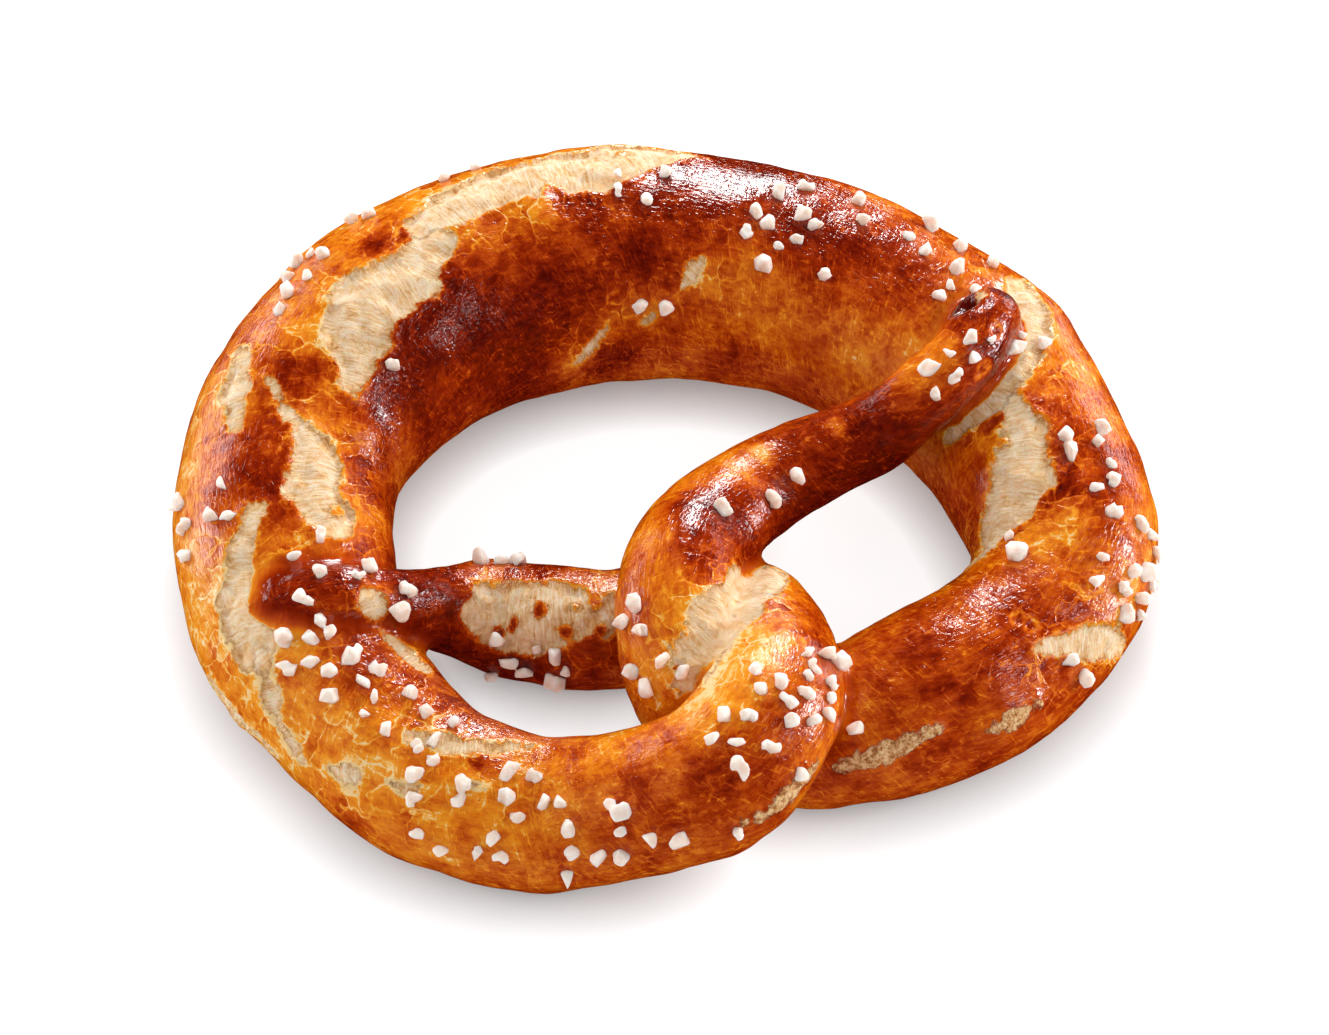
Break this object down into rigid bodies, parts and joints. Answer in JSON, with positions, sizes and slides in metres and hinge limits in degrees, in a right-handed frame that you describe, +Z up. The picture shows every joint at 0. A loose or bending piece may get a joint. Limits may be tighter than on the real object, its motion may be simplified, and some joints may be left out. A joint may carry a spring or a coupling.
{
  "type": "bavarian pretzel",
  "caption": "Whole baked bavarian pretzel, a rope of dough twisted into a loop with crossed arms, thick back, torn crust and coarse salt.",
  "frame": {"origin": "centre of the flat base's box, on the surface that the pretzel lies on", "axes": "+Z up, +Y towards the thick back of the loop, -Y towards the twist of the arms, +X towards the right arm's end"},
  "size_m": [0.1605, 0.15, 0.0395],
  "materials": {
    "baked_crust": "semi-gloss lye-baked crust, chestnut brown with golden veins and pale torn dough",
    "coarse_salt": "matt, slightly see-through white salt grains"
  },
  "bodies": {
    "root": {"pretzel": "baked_crust"}
  },
  "joints": []
}
